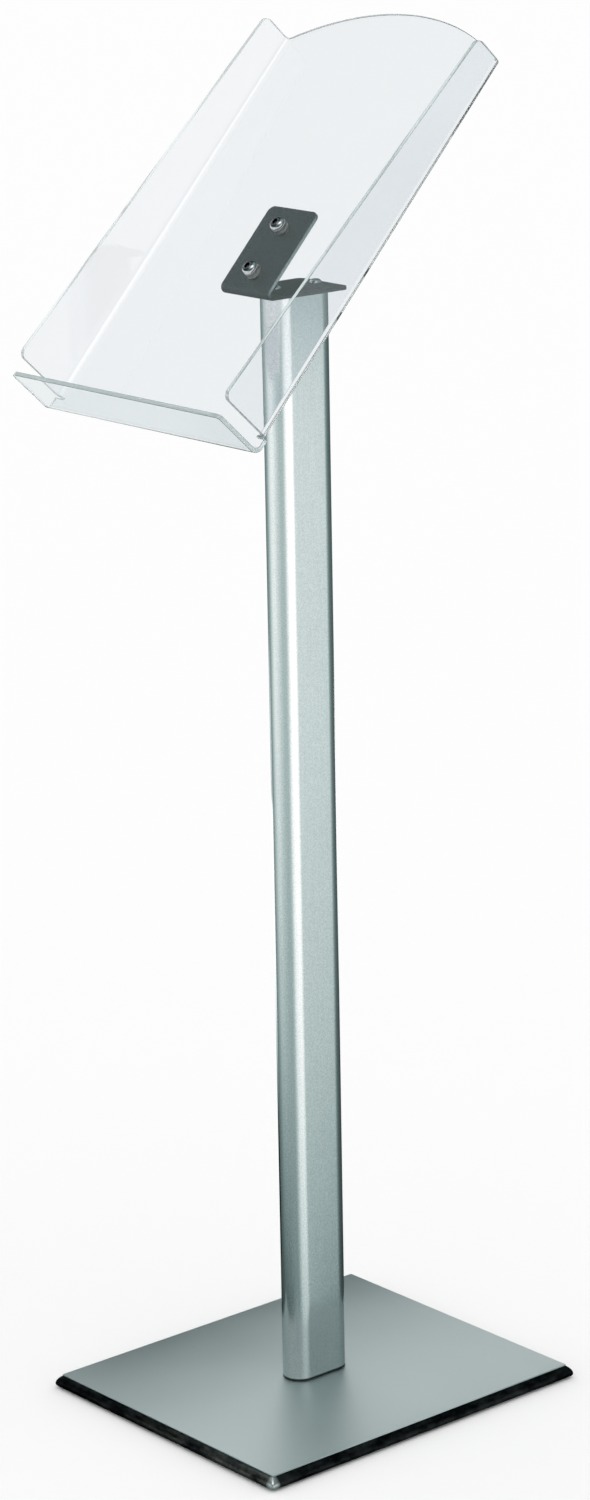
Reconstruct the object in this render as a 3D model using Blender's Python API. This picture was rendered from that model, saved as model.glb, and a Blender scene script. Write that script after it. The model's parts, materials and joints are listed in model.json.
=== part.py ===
"""Lectern stand: a clear acrylic tray on a folded bracket, a flat-oval post and a rectangular base.

Frame: metres, +Z up, origin on the floor at the centre of the base.
The reader stands on the -Y side and looks along +Y; +X is to the reader's right.
"""

import math

import bmesh
import bpy
from mathutils import Matrix, Vector

MM = 0.001
GAP = 0.3 * MM  # clearance between two pieces that touch
SHARP_ANGLE = math.radians(35)  # edges that turn more than this are drawn sharp

# Base
COVER_X = 296 * MM
COVER_Y = 350 * MM
COVER_THICK = 1.0 * MM
COVER_CORNER = 0.8 * MM
MAT_THICK = 1.0 * MM
PLATE_THICK = 10.2 * MM
RIM_OUT = 5.5 * MM  # how far the rim stands out past the cover
RIM_WIDEST = 2.7 * MM  # height of the widest line above the plate's underside
RIM_TUCK = 2.1 * MM  # how far the rim comes back in below that line
RIM_STEPS = 7
TUCK_STEPS = 3

# Post: a flat oval, two half circles joined by flat sides, long side along Y
POST_RADIUS = 15.5 * MM
POST_HALF_FLAT = 17.0 * MM
POST_WALL = 2.0 * MM
POST_LENGTH = 989 * MM
INSERT_LENGTH = 30 * MM
OVAL_STEPS = 12  # facets on each half circle

# Bracket: one plate folded back on itself in an acute V
BRACKET_WIDTH = 62 * MM
BRACKET_THICK = 3.0 * MM
BRACKET_INNER_RADIUS = 2.5 * MM
BRACKET_BEND_Y = -48.5 * MM
LEVEL_LEG = 83.5 * MM  # from the bend line to the back edge
SLOPING_LEG = 81.5 * MM  # from the bend line to the top edge
BRACKET_CORNER = 6.5 * MM
BRACKET_BEND_STEPS = 10
HEAD_SCREW_Y = (-20 * MM, 24 * MM)

# Tray: one sheet of acrylic with a lip and two flanges, all folded square towards the reader
TRAY_SLOPE = math.radians(46.8)
SHEET = 4.0 * MM
FOLD_INNER_RADIUS = 5.0 * MM
TRAY_WIDTH = 275 * MM  # over the outsides of the flanges
SHOULDER = 401 * MM  # from the lip fold's outside to the top of the flanges
ARCH_TOP = 438.7 * MM  # the same, to the top of the arch
ARCH_HALF_SPAN = 133 * MM
LIP_HEIGHT = 55.2 * MM
LIP_CORNER = 4.0 * MM
FLANGE_FOOT = 17.4 * MM  # from the lip fold's outside to the lower edge of the flanges
FLANGE_LOW_HEIGHT = 61.0 * MM
FLANGE_TOP_HEIGHT = 35.8 * MM
FLANGE_CORNER = 7.0 * MM
SLIT = 1.6 * MM  # saw cut between the lip's end and each flange
SLIT_INSIDE = 1.0 * MM  # how far the cut runs past the flange's fold line
FOLD_STEPS = 8
ARCH_STEPS = 30
CORNER_STEPS = 6
TRAY_SPACER = 3.4 * MM  # from the bracket's front face to the tray's back
BEND_ON_TRAY = 153.6 * MM  # how far up the tray's back the bracket's bend line lies
TRAY_SCREW_AT = (168 * MM, 214 * MM)  # up the tray, from the lip fold's outside

# Fasteners: (shank radius, head radius, head height, socket across flats, socket depth)
M8_BUTTON = (4.0 * MM, 7.0 * MM, 4.4 * MM, 5.0 * MM, 2.8 * MM)
M6_BUTTON = (3.0 * MM, 5.25 * MM, 3.3 * MM, 4.0 * MM, 2.1 * MM)
M8_COUNTERSUNK = (4.0 * MM, 7.75 * MM, 3.75 * MM, 5.0 * MM, 2.6 * MM)
TRAY_SCREW_LENGTH = 23 * MM
HEAD_SCREW_LENGTH = 20 * MM
BASE_BOLT_LENGTH = 35 * MM
BASE_BOLT_Y = (-18 * MM, 18 * MM)
BASE_BOLT_RECESS = 0.5 * MM
HOLE_PLAY = 0.5 * MM  # clearance hole's radius over the shank's
TAPPED_PLAY = GAP
RING_OUTER = 7.0 * MM  # nylon washer and spacer
NYLON_THICK = 0.8 * MM
STEEL_WASHER_OUTER = 8.0 * MM
STEEL_WASHER_THICK = 1.4 * MM
NUT_FLATS = 13.0 * MM
NUT_HEIGHT = 6.5 * MM
TURNED_STEPS = 28
DOME_REACH = math.radians(75)  # how far round the head's dome runs before its flat top
DOME_STEPS = 6

# Heights and places that follow from the above
PLATE_BOTTOM = MAT_THICK + GAP
PLATE_TOP = PLATE_BOTTOM + PLATE_THICK
COVER_BOTTOM = PLATE_TOP + GAP
COVER_TOP = COVER_BOTTOM + COVER_THICK
POST_BOTTOM = COVER_TOP + GAP
POST_TOP = POST_BOTTOM + POST_LENGTH
LEVEL_BOTTOM = POST_TOP + GAP
LEVEL_TOP = LEVEL_BOTTOM + BRACKET_THICK
UP_TRAY = Vector((0, math.cos(TRAY_SLOPE), math.sin(TRAY_SLOPE)))
OFF_TRAY = Vector((0, -math.sin(TRAY_SLOPE), math.cos(TRAY_SLOPE)))
BEND_OUTER = BRACKET_INNER_RADIUS + BRACKET_THICK
BEND_CENTRE = Vector((0, BRACKET_BEND_Y, LEVEL_BOTTOM + BEND_OUTER))
TRAY_ORIGIN = BEND_CENTRE + (BEND_OUTER + TRAY_SPACER) * OFF_TRAY - BEND_ON_TRAY * UP_TRAY
FACING_UP = Matrix.Identity(3)
FACING_DOWN = Matrix.Rotation(math.pi, 3, "X")
FACING_READER = Matrix.Rotation(TRAY_SLOPE, 3, "X")


def clear_scene():
    for old in list(bpy.data.objects):
        bpy.data.objects.remove(old, do_unlink=True)


def make_material(name, colour, metallic, roughness, alpha=1.0):
    material = bpy.data.materials.new(name)
    material.use_nodes = True
    shader = material.node_tree.nodes["Principled BSDF"]
    shader.inputs["Base Color"].default_value = (*colour, 1)
    shader.inputs["Metallic"].default_value = metallic
    shader.inputs["Roughness"].default_value = roughness
    shader.inputs["Alpha"].default_value = alpha
    return material


def add_object(name, bm, material=None, place=None):
    """Turn a bmesh into a named object. A cutter has no material and keeps flat shading."""
    bmesh.ops.recalc_face_normals(bm, faces=bm.faces)
    mesh = bpy.data.meshes.new(name)
    bm.to_mesh(mesh)
    bm.free()
    if material:
        mesh.materials.append(material)
        mesh.shade_smooth()
        mesh.set_sharp_from_angle(angle=SHARP_ANGLE)
    obj = bpy.data.objects.new(name, mesh)
    bpy.context.scene.collection.objects.link(obj)
    if place:
        position, facing = place
        obj.matrix_world = Matrix.Translation(position) @ facing.to_4x4()
    return obj


def cut(target, cutter):
    """Take the cutter's volume out of the target, and keep the cutter as a hidden guide."""
    cutter.hide_render = True
    cutter.display_type = "WIRE"
    boolean = target.modifiers.new(cutter.name, "BOOLEAN")
    boolean.operation = "DIFFERENCE"
    boolean.solver = "EXACT"
    boolean.object = cutter


def arc(centre, radius, start, end, steps):
    """Points on a circle in the plane, both ends included."""
    turn = (end - start) / steps
    angles = [start + turn * i for i in range(steps + 1)]
    return [(centre[0] + radius * math.cos(a), centre[1] + radius * math.sin(a)) for a in angles]


def filleted(corners, steps):
    """An outline from (x, y, radius) corners, with each corner of a radius made round."""
    outline = []
    for i, (x, y, radius) in enumerate(corners):
        here = Vector((x, y))
        back = (Vector(corners[i - 1][:2]) - here).normalized()
        ahead = (Vector(corners[(i + 1) % len(corners)][:2]) - here).normalized()
        if radius == 0:
            outline.append((x, y))
            continue
        half_angle = back.angle(ahead) / 2
        centre = here + (back + ahead).normalized() * radius / math.sin(half_angle)
        tangent = here + back * radius / math.tan(half_angle) - centre
        swing = tangent.angle_signed(here + ahead * radius / math.tan(half_angle) - centre)
        for k in range(steps + 1):
            spoke = Matrix.Rotation(-swing * k / steps, 2) @ tangent
            outline.append(tuple(centre + spoke))
    return outline


def rounded_rectangle(half_x, half_y, radius, steps):
    signs = ((1, -1), (1, 1), (-1, 1), (-1, -1))
    return filleted([(sx * half_x, sy * half_y, radius) for sx, sy in signs], steps)


def flat_oval(radius, half_flat):
    near = arc((0, -half_flat), radius, math.pi, 2 * math.pi, OVAL_STEPS)
    far = arc((0, half_flat), radius, 0, math.pi, OVAL_STEPS)
    return near + far


def ring_of(bm, outline, height):
    return [bm.verts.new((x, y, height)) for x, y in outline]


def bridge(bm, lower, upper):
    count = len(lower)
    for i in range(count):
        j = (i + 1) % count
        bm.faces.new((lower[i], lower[j], upper[j], upper[i]))


def lofted(layers):
    """A closed body through (outline, height) layers that have equally many points."""
    bm = bmesh.new()
    rings = [ring_of(bm, outline, height) for outline, height in layers]
    for lower, upper in zip(rings, rings[1:]):
        bridge(bm, lower, upper)
    bm.faces.new(rings[0][::-1])
    bm.faces.new(rings[-1])
    return bm


def tube(outer, inner, low, high):
    """A straight hollow extrusion, open at both ends."""
    bm = bmesh.new()
    outside = [ring_of(bm, outer, low), ring_of(bm, outer, high)]
    inside = [ring_of(bm, inner, low), ring_of(bm, inner, high)]
    bridge(bm, *outside)
    bridge(bm, *inside)
    bridge(bm, inside[0], outside[0])
    bridge(bm, outside[1], inside[1])
    return bm


def turned(profile):
    """A solid of revolution about Z from (radius, height) points, from one end to the other."""
    bm = bmesh.new()
    outlines = [arc((0, 0), radius, 0, 2 * math.pi, TURNED_STEPS)[:-1] for radius, _ in profile]
    rings = [ring_of(bm, outline, point[1]) for outline, point in zip(outlines, profile)]
    for lower, upper in zip(rings, rings[1:]):
        bridge(bm, lower, upper)
    bm.faces.new(rings[0][::-1])
    bm.faces.new(rings[-1])
    return bm


def washer(outer, inner, thick):
    circles = [arc((0, 0), radius, 0, 2 * math.pi, TURNED_STEPS)[:-1] for radius in (outer, inner)]
    return tube(*circles, 0, thick)


def hexagon(across_flats):
    return arc((0, 0), across_flats / math.sqrt(3), 0, 2 * math.pi, 6)[:-1]


def fold(distance, height, inner_radius, thick, turn):
    """Where a point of a flat sheet goes when the sheet is folded.

    distance is how far past the bend line it lies along the middle of the sheet, and height is its
    height in the thickness, from the face that ends up outside. Returns (along, up).
    """
    outer_radius = inner_radius + thick
    radius = outer_radius - height
    arc_length = (inner_radius + thick / 2) * turn
    if distance <= 0:
        return distance, height
    angle = min(distance / arc_length, 1) * turn
    straight = max(distance - arc_length, 0)
    along = radius * math.sin(angle) + straight * math.cos(angle)
    up = outer_radius - radius * math.cos(angle) + straight * math.sin(angle)
    return along, up


def folded_sheet(outline, holes, bend_cuts, thick, shape):
    """A sheet cut to an outline with holes, then folded.

    bend_cuts lists (point, direction) lines in the flat blank along which its facets are split, and
    shape(x, y, height) gives a blank point's place after folding.
    """
    flat = bmesh.new()
    for loop in [outline, *holes]:
        verts = ring_of(flat, loop, 0)
        for i, vert in enumerate(verts):
            flat.edges.new((vert, verts[(i + 1) % len(verts)]))
    bmesh.ops.triangle_fill(flat, use_beauty=True, edges=flat.edges, normal=(0, 0, 1))
    for point, normal in bend_cuts:
        parts = list(flat.verts) + list(flat.edges) + list(flat.faces)
        bmesh.ops.bisect_plane(flat, geom=parts, plane_co=point, plane_no=normal, dist=1e-7)
    bmesh.ops.triangulate(flat, faces=flat.faces)
    solid = bmesh.new()
    sides = []
    for height in (0, thick):
        sides.append({v: solid.verts.new(shape(v.co.x, v.co.y, height)) for v in flat.verts})
    outside, inside = sides
    for face in flat.faces:
        solid.faces.new([outside[v] for v in reversed(face.verts)])
        solid.faces.new([inside[v] for v in face.verts])
    for edge in flat.edges:
        if edge.is_boundary:
            a, b = edge.verts
            solid.faces.new((outside[a], outside[b], inside[b]))
            solid.faces.new((outside[a], inside[b], inside[a]))
    flat.free()
    return solid


def circle_hole(x, y, radius):
    return arc((x, y), radius, 0, 2 * math.pi, TURNED_STEPS)[:-1]


def button_screw(name, size, length, material, place):
    """Domed head with a hexagon socket; its origin is under the head and its tip points down."""
    shank, head, head_height, flats, depth = size
    chamfer = 0.5 * MM
    rim = 0.5 * MM
    dome_rise = (head_height - rim) / math.sin(DOME_REACH)
    dome = []
    for i in range(DOME_STEPS + 1):
        angle = DOME_REACH * i / DOME_STEPS
        dome.append((head * math.cos(angle), rim + dome_rise * math.sin(angle)))
    profile = [(shank - chamfer, -length), (shank, chamfer - length), (shank, 0), (head, 0), *dome]
    screw = add_object(name, turned(profile), material, place)
    socket = lofted([(hexagon(flats), head_height - depth), (hexagon(flats), head_height + depth)])
    cut(screw, add_object(name + "_socket", socket, place=place))


def countersunk_bolt(name, size, length, material, place):
    """Cone head with a hexagon socket; its origin is on the head's flat face, its tip below it."""
    shank, head, cone, flats, depth = size
    edge = 0.4 * MM
    chamfer = 0.8 * MM
    profile = [
        (shank - chamfer, -length),
        (shank, chamfer - length),
        (shank, -cone - edge),
        (head, -edge),
        (head, 0),
    ]
    bolt = add_object(name, turned(profile), material, place)
    socket = lofted([(hexagon(flats), -depth), (hexagon(flats), depth)])
    cut(bolt, add_object(name + "_socket", socket, place=place))


def rim_layers():
    """The base plate's outline at each height: tucked in below, widest low down, sloping in above."""
    layers = []
    for i in range(TUCK_STEPS):
        below = 1 - i / TUCK_STEPS
        out = RIM_OUT - RIM_TUCK * below**2
        layers.append((out, PLATE_BOTTOM + RIM_WIDEST * (1 - below)))
    rise = PLATE_THICK - RIM_WIDEST
    for i in range(RIM_STEPS + 1):
        above = i / RIM_STEPS
        layers.append((RIM_OUT * (1 - above**2), PLATE_BOTTOM + RIM_WIDEST + rise * above))
    return layers


def base_outline(out):
    corner = COVER_CORNER + out / 3
    return rounded_rectangle(COVER_X / 2 + out, COVER_Y / 2 + out, corner, 3)


def make_base(black, silver, rubber, steel):
    mat = rounded_rectangle(COVER_X / 2, COVER_Y / 2, 0, 0)
    add_object("floor_mat", lofted([(mat, 0), (mat, MAT_THICK)]), rubber)
    plate_layers = [(base_outline(out), height) for out, height in rim_layers()]
    plate = add_object("base_plate", lofted(plate_layers), black)
    cover_layers = [(base_outline(0), COVER_BOTTOM), (base_outline(0), COVER_TOP)]
    cover = add_object("base_cover", lofted(cover_layers), silver)
    shank, head, cone = M8_COUNTERSUNK[:3]
    for side, y in zip(("front", "back"), BASE_BOLT_Y):
        name = "base_bolt_" + side
        on_axis = Vector((0, y, PLATE_BOTTOM + BASE_BOLT_RECESS))
        countersunk_bolt(name, M8_COUNTERSUNK, BASE_BOLT_LENGTH, steel, (on_axis, FACING_DOWN))
        wide = head + HOLE_PLAY
        narrow = shank + HOLE_PLAY
        cone_end = BASE_BOLT_RECESS + cone + HOLE_PLAY
        seat = [(wide, -MM), (wide, BASE_BOLT_RECESS), (narrow, cone_end), (narrow, PLATE_THICK + MM)]
        at_plate = (Vector((0, y, PLATE_BOTTOM)), FACING_UP)
        cut(plate, add_object(name + "_seat", turned(seat), place=at_plate))
        hole = [(narrow, COVER_BOTTOM - GAP / 2), (narrow, COVER_TOP + MM)]
        cut(cover, add_object(name + "_hole", turned(hole), place=(Vector((0, y, 0)), FACING_UP)))


def make_insert(name, low, material, holes):
    """A solid plug inside the post, with blind holes given as (y, radius, from height, to height)."""
    outline = flat_oval(POST_RADIUS - POST_WALL - GAP, POST_HALF_FLAT)
    insert = add_object(name, lofted([(outline, low), (outline, low + INSERT_LENGTH)]), material)
    for i, (y, radius, start, end) in enumerate(holes):
        hole = turned([(radius, start), (radius, end)])
        cut(insert, add_object(f"{name}_hole_{i}", hole, place=(Vector((0, y, 0)), FACING_UP)))


def make_post(aluminium, plain_metal):
    outer = flat_oval(POST_RADIUS, POST_HALF_FLAT)
    inner = flat_oval(POST_RADIUS - POST_WALL, POST_HALF_FLAT)
    add_object("post", tube(outer, inner, POST_BOTTOM, POST_TOP), aluminium)
    bolt_radius = M8_COUNTERSUNK[0] + TAPPED_PLAY
    bolt_end = PLATE_BOTTOM + BASE_BOLT_RECESS + BASE_BOLT_LENGTH + MM
    foot_holes = [(y, bolt_radius, POST_BOTTOM - MM, bolt_end) for y in BASE_BOLT_Y]
    make_insert("post_foot_insert", POST_BOTTOM, plain_metal, foot_holes)
    screw_radius = M6_BUTTON[0] + TAPPED_PLAY
    screw_end = LEVEL_TOP + GAP - HEAD_SCREW_LENGTH - MM
    head_holes = [(y, screw_radius, screw_end, POST_TOP + MM) for y in HEAD_SCREW_Y]
    make_insert("post_head_insert", POST_TOP - INSERT_LENGTH, plain_metal, head_holes)


def make_bracket(plate_material, steel):
    """The blank lies along Y from the level leg's back edge to the sloping leg's top edge."""
    turn = math.pi - TRAY_SLOPE
    bend_length = (BRACKET_INNER_RADIUS + BRACKET_THICK / 2) * turn
    half = BRACKET_WIDTH / 2
    ends = (-LEVEL_LEG, bend_length + SLOPING_LEG)
    blank = [(half, ends[0]), (half, ends[1]), (-half, ends[1]), (-half, ends[0])]
    outline = filleted([(x, y, BRACKET_CORNER) for x, y in blank], CORNER_STEPS)
    level_holes = [circle_hole(0, BRACKET_BEND_Y - y, M6_BUTTON[0] + HOLE_PLAY) for y in HEAD_SCREW_Y]
    slope_holes = []
    for along in TRAY_SCREW_AT:
        on_blank = bend_length + along - BEND_ON_TRAY
        slope_holes.append(circle_hole(0, on_blank, M8_BUTTON[0] + HOLE_PLAY))
    cuts = []
    for i in range(BRACKET_BEND_STEPS + 1):
        cuts.append(((0, bend_length * i / BRACKET_BEND_STEPS, 0), (0, 1, 0)))

    def shape(x, y, height):
        along, up = fold(y, height, BRACKET_INNER_RADIUS, BRACKET_THICK, turn)
        return x, BRACKET_BEND_Y - along, LEVEL_BOTTOM + up

    sheet = folded_sheet(outline, level_holes + slope_holes, cuts, BRACKET_THICK, shape)
    add_object("bracket", sheet, plate_material)
    for side, y in zip(("front", "back"), HEAD_SCREW_Y):
        place = (Vector((0, y, LEVEL_TOP + GAP)), FACING_UP)
        button_screw("head_screw_" + side, M6_BUTTON, HEAD_SCREW_LENGTH, steel, place)


def tray_point(x, along, off):
    """A point from the reader's left to right, up the tray, and off its back face."""
    return TRAY_ORIGIN + Vector((x, 0, 0)) + along * UP_TRAY + off * OFF_TRAY


def tray_blank(fold_line, fold_length, fold_outer):
    """The flat sheet's outline: lip at the bottom, flanges at the sides, arch on top."""
    lip_end = fold_outer - fold_length - (LIP_HEIGHT - fold_outer)
    low_end = fold_line + fold_length + FLANGE_LOW_HEIGHT - fold_outer
    top_end = fold_line + fold_length + FLANGE_TOP_HEIGHT - fold_outer
    slit_end = fold_line - SLIT_INSIDE
    right = [
        (TRAY_WIDTH / 2, lip_end, LIP_CORNER),
        (TRAY_WIDTH / 2, FLANGE_FOOT - SLIT, SLIT / 3),
        (slit_end, FLANGE_FOOT - SLIT, SLIT / 3),
        (slit_end, FLANGE_FOOT, SLIT / 3),
        (low_end, FLANGE_FOOT, FLANGE_CORNER),
        (top_end, SHOULDER, FLANGE_CORNER),
    ]
    left = [(-x, y, radius) for x, y, radius in reversed(right)]
    rise = ARCH_TOP - SHOULDER
    radius = (ARCH_HALF_SPAN**2 + rise**2) / (2 * rise)
    half_angle = math.asin(ARCH_HALF_SPAN / radius)
    centre = (0, ARCH_TOP - radius)
    arch = arc(centre, radius, math.pi / 2 - half_angle, math.pi / 2 + half_angle, ARCH_STEPS)
    return filleted(right + [(x, y, 0) for x, y in arch] + left, CORNER_STEPS)


def make_tray(acrylic):
    fold_outer = FOLD_INNER_RADIUS + SHEET
    quarter = math.pi / 2
    fold_length = (FOLD_INNER_RADIUS + SHEET / 2) * quarter
    fold_line = TRAY_WIDTH / 2 - fold_outer
    cuts = []
    for i in range(FOLD_STEPS + 1):
        part = fold_length * i / FOLD_STEPS
        cuts.append(((0, fold_outer - part, 0), (0, 1, 0)))
        cuts.append(((fold_line + part, 0, 0), (1, 0, 0)))
        cuts.append(((-fold_line - part, 0, 0), (1, 0, 0)))

    def shape(x, y, height):
        side = math.copysign(1, x)
        in_flange = y > FLANGE_FOOT - SLIT / 2
        past = abs(x) - fold_line if in_flange else 0
        out, flange_up = fold(past, height, FOLD_INNER_RADIUS, SHEET, quarter)
        across = side * (fold_line + out) if in_flange else x
        down, lip_up = fold(fold_outer - y, height, FOLD_INNER_RADIUS, SHEET, quarter)
        return tray_point(across, fold_outer - down, flange_up + lip_up - height)

    holes = [circle_hole(0, along, M8_BUTTON[0] + HOLE_PLAY) for along in TRAY_SCREW_AT]
    blank = tray_blank(fold_line, fold_length, fold_outer)
    add_object("tray", folded_sheet(blank, holes, cuts, SHEET, shape), acrylic)


def make_tray_fixings(steel, nylon):
    """Along each screw, from the reader: head, nylon washer, tray, spacer, bracket, washer, nut."""
    shank = M8_BUTTON[0]
    for level, along in zip(("lower", "upper"), TRAY_SCREW_AT):

        def stacked(off):
            return tray_point(0, along, off), FACING_READER

        nylon_at = SHEET + GAP
        head_at = nylon_at + NYLON_THICK + GAP
        button_screw("tray_screw_" + level, M8_BUTTON, TRAY_SCREW_LENGTH, steel, stacked(head_at))
        ring = washer(RING_OUTER, shank + HOLE_PLAY, NYLON_THICK)
        add_object("tray_washer_" + level, ring, nylon, stacked(nylon_at))
        spacer_thick = TRAY_SPACER - 2 * GAP
        spacer = washer(RING_OUTER, shank + HOLE_PLAY, spacer_thick)
        add_object("tray_spacer_" + level, spacer, nylon, stacked(GAP - TRAY_SPACER))
        washer_at = -TRAY_SPACER - BRACKET_THICK - GAP - STEEL_WASHER_THICK
        back_washer = washer(STEEL_WASHER_OUTER, shank + HOLE_PLAY, STEEL_WASHER_THICK)
        add_object("bracket_washer_" + level, back_washer, steel, stacked(washer_at))
        nut_at = washer_at - GAP - NUT_HEIGHT
        body = lofted([(hexagon(NUT_FLATS), 0), (hexagon(NUT_FLATS), NUT_HEIGHT)])
        nut = add_object("tray_nut_" + level, body, steel, stacked(nut_at))
        thread = turned([(shank + TAPPED_PLAY, -MM), (shank + TAPPED_PLAY, NUT_HEIGHT + MM)])
        cut(nut, add_object("tray_nut_hole_" + level, thread, place=stacked(nut_at)))


def main():
    clear_scene()
    black = make_material("base_black", (0.012, 0.013, 0.014), 0.0, 0.16)
    silver = make_material("base_silver", (0.60, 0.64, 0.64), 1.0, 0.34)
    aluminium = make_material("post_aluminium", (0.70, 0.74, 0.74), 1.0, 0.30)
    dark_steel = make_material("bracket_steel", (0.20, 0.24, 0.25), 1.0, 0.38)
    screw_steel = make_material("screw_steel", (0.62, 0.64, 0.65), 1.0, 0.22)
    plain_metal = make_material("insert_metal", (0.55, 0.56, 0.57), 1.0, 0.5)
    nylon = make_material("nylon_clear", (0.86, 0.88, 0.87), 0.0, 0.45)
    rubber = make_material("mat_rubber", (0.03, 0.03, 0.03), 0.0, 0.85)
    acrylic = make_material("tray_acrylic", (0.93, 0.97, 0.96), 0.0, 0.03, 0.25)
    make_base(black, silver, rubber, screw_steel)
    make_post(aluminium, plain_metal)
    make_bracket(dark_steel, screw_steel)
    make_tray(acrylic)
    make_tray_fixings(screw_steel, nylon)


main()
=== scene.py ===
import json
import math

import bmesh
import bpy
from mathutils import Matrix, Vector


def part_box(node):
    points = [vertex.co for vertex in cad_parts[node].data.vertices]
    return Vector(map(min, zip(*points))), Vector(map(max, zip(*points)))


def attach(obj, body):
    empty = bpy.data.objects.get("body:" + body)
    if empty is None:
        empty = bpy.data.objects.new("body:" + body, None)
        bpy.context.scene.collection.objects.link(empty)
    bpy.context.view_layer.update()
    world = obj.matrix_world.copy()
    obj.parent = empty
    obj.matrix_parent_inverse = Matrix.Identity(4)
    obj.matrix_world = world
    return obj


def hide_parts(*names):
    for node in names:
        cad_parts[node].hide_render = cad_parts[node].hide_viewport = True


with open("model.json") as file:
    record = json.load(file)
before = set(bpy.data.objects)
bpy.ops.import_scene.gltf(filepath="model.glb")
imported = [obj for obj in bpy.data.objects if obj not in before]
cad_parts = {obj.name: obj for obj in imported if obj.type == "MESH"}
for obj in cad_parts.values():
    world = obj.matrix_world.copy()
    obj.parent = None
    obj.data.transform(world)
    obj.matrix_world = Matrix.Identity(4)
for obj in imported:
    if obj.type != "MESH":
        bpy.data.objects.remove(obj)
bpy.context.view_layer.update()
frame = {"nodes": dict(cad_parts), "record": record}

# Lectern stand. Metres, +Z up, origin on the floor at the centre of the base.
# The reader stands on the -Y side; +X is to the reader's right.

MM = 0.001
BODY = "root"

# Base
COVER_X = 296 * MM
COVER_Y = 350 * MM
COVER_CORNER = 0.8 * MM
RIM_OUT = 5.5 * MM
RIM_WIDEST = 2.7 * MM
RIM_TUCK = 2.1 * MM
RIM_STEPS = 22
TUCK_STEPS = 8
RIM_CORNER_STEPS = 12
COVER_EDGE = 0.2 * MM
BASE_BOLT_Y = (-18 * MM, 18 * MM)
BASE_BOLT_LENGTH = 35 * MM
BASE_BOLT_RECESS = 0.5 * MM

# Post
POST_RADIUS = 15.5 * MM
POST_HALF_FLAT = 17.0 * MM
POST_WALL = 2.0 * MM
POST_EDGE = 0.25 * MM
OVAL_STEPS = 48
FLAT_STEPS = 8

# Bracket
BRACKET_WIDTH = 62 * MM
BRACKET_THICK = 3.0 * MM
BRACKET_INNER_RADIUS = 2.5 * MM
BRACKET_BEND_Y = -48.5 * MM
LEVEL_LEG = 83.5 * MM
SLOPING_LEG = 81.5 * MM
BRACKET_CORNER = 6.5 * MM
BRACKET_BEND_STEPS = 28
BRACKET_EDGE = 0.35 * MM
HEAD_SCREW_Y = (-20 * MM, 24 * MM)

# Tray
SHEET = 4.0 * MM
FOLD_INNER_RADIUS = 5.0 * MM
TRAY_WIDTH = 275 * MM
SHOULDER = 401 * MM
ARCH_TOP = 438.7 * MM
ARCH_HALF_SPAN = 133 * MM
LIP_HEIGHT = 55.2 * MM
LIP_CORNER = 4.0 * MM
FLANGE_FOOT = 17.4 * MM
FLANGE_LOW_HEIGHT = 61.0 * MM
FLANGE_TOP_HEIGHT = 35.8 * MM
FLANGE_CORNER = 7.0 * MM
SLIT = 1.6 * MM
SLIT_INSIDE = 1.0 * MM
FOLD_STEPS = 20
ARCH_STEPS = 72
CORNER_STEPS = 12
SHEET_EDGE = 0.35 * MM
EDGE_SEGMENTS = 3
EDGE_TURN = math.radians(60)  # a flat plate's level edges that turn more than this are rounded
FACE_TILT, CUT_TILT = 0.99, 0.1  # a flat plate's faces point up or down, and its cuts sideways
TRAY_SPACER = 3.4 * MM
TRAY_SCREW_AT = (168 * MM, 214 * MM)

# Fasteners: (shank radius, head radius, head height, socket across flats, socket depth)
M8_BUTTON = (4.0 * MM, 7.0 * MM, 4.4 * MM, 5.0 * MM, 2.8 * MM)
M6_BUTTON = (3.0 * MM, 5.25 * MM, 3.3 * MM, 4.0 * MM, 2.1 * MM)
M8_COUNTERSUNK = (4.0 * MM, 7.75 * MM, 3.75 * MM, 5.0 * MM, 2.6 * MM)
TRAY_SCREW_LENGTH = 23 * MM
HEAD_SCREW_LENGTH = 20 * MM
M8_PITCH = 1.25 * MM
M6_PITCH = 1.0 * MM
HOLE_PLAY = 0.5 * MM
RING_OUTER = 7.0 * MM
NYLON_THICK = 0.8 * MM
STEEL_WASHER_OUTER = 8.0 * MM
STEEL_WASHER_THICK = 1.4 * MM
NUT_FLATS = 13.0 * MM
NUT_HEIGHT = 6.5 * MM
NUT_CHAMFER = math.radians(30)
NUT_CHAMFER_STEPS = 5
SOCKET_LEAD = 0.25 * MM
HEAD_RIM = 0.35 * MM
DOME_STEPS = 14
CROWN = 0.72  # how far out a button head's darker crown reaches, as a share of its radius
CROWN_DARKNESS = 0.85
THREAD_LAYERS = 8  # for each turn
ROUND_STEPS = 72
GAP = 0.3 * MM

# Places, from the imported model
PLATE_LOW, PLATE_HIGH = (corner.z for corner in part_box("base_plate"))
COVER_LOW, COVER_HIGH = (corner.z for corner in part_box("base_cover"))
POST_LOW, POST_HIGH = (corner.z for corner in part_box("post"))
LEVEL_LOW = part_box("bracket")[0].z
LEVEL_HIGH = LEVEL_LOW + BRACKET_THICK
LEDGE = next(m for m in frame["record"]["mounts"] if m["name"] == "ledge_face")
UP_TRAY = Vector(LEDGE["axis"]).normalized()
OFF_TRAY = Vector((0, -UP_TRAY.z, UP_TRAY.y))
TRAY_SLOPE = math.atan2(UP_TRAY.z, UP_TRAY.y)
LEDGE_POINT_OFF = 32.0 * MM
TRAY_ORIGIN = Vector(LEDGE["pos_m"]) - SHEET * UP_TRAY - LEDGE_POINT_OFF * OFF_TRAY
FACING_UP = Matrix.Identity(3)
FACING_DOWN = Matrix.Rotation(math.pi, 3, "X")
FACING_READER = Matrix.Rotation(TRAY_SLOPE, 3, "X")


# ---------------------------------------------------------------- outlines


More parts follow.
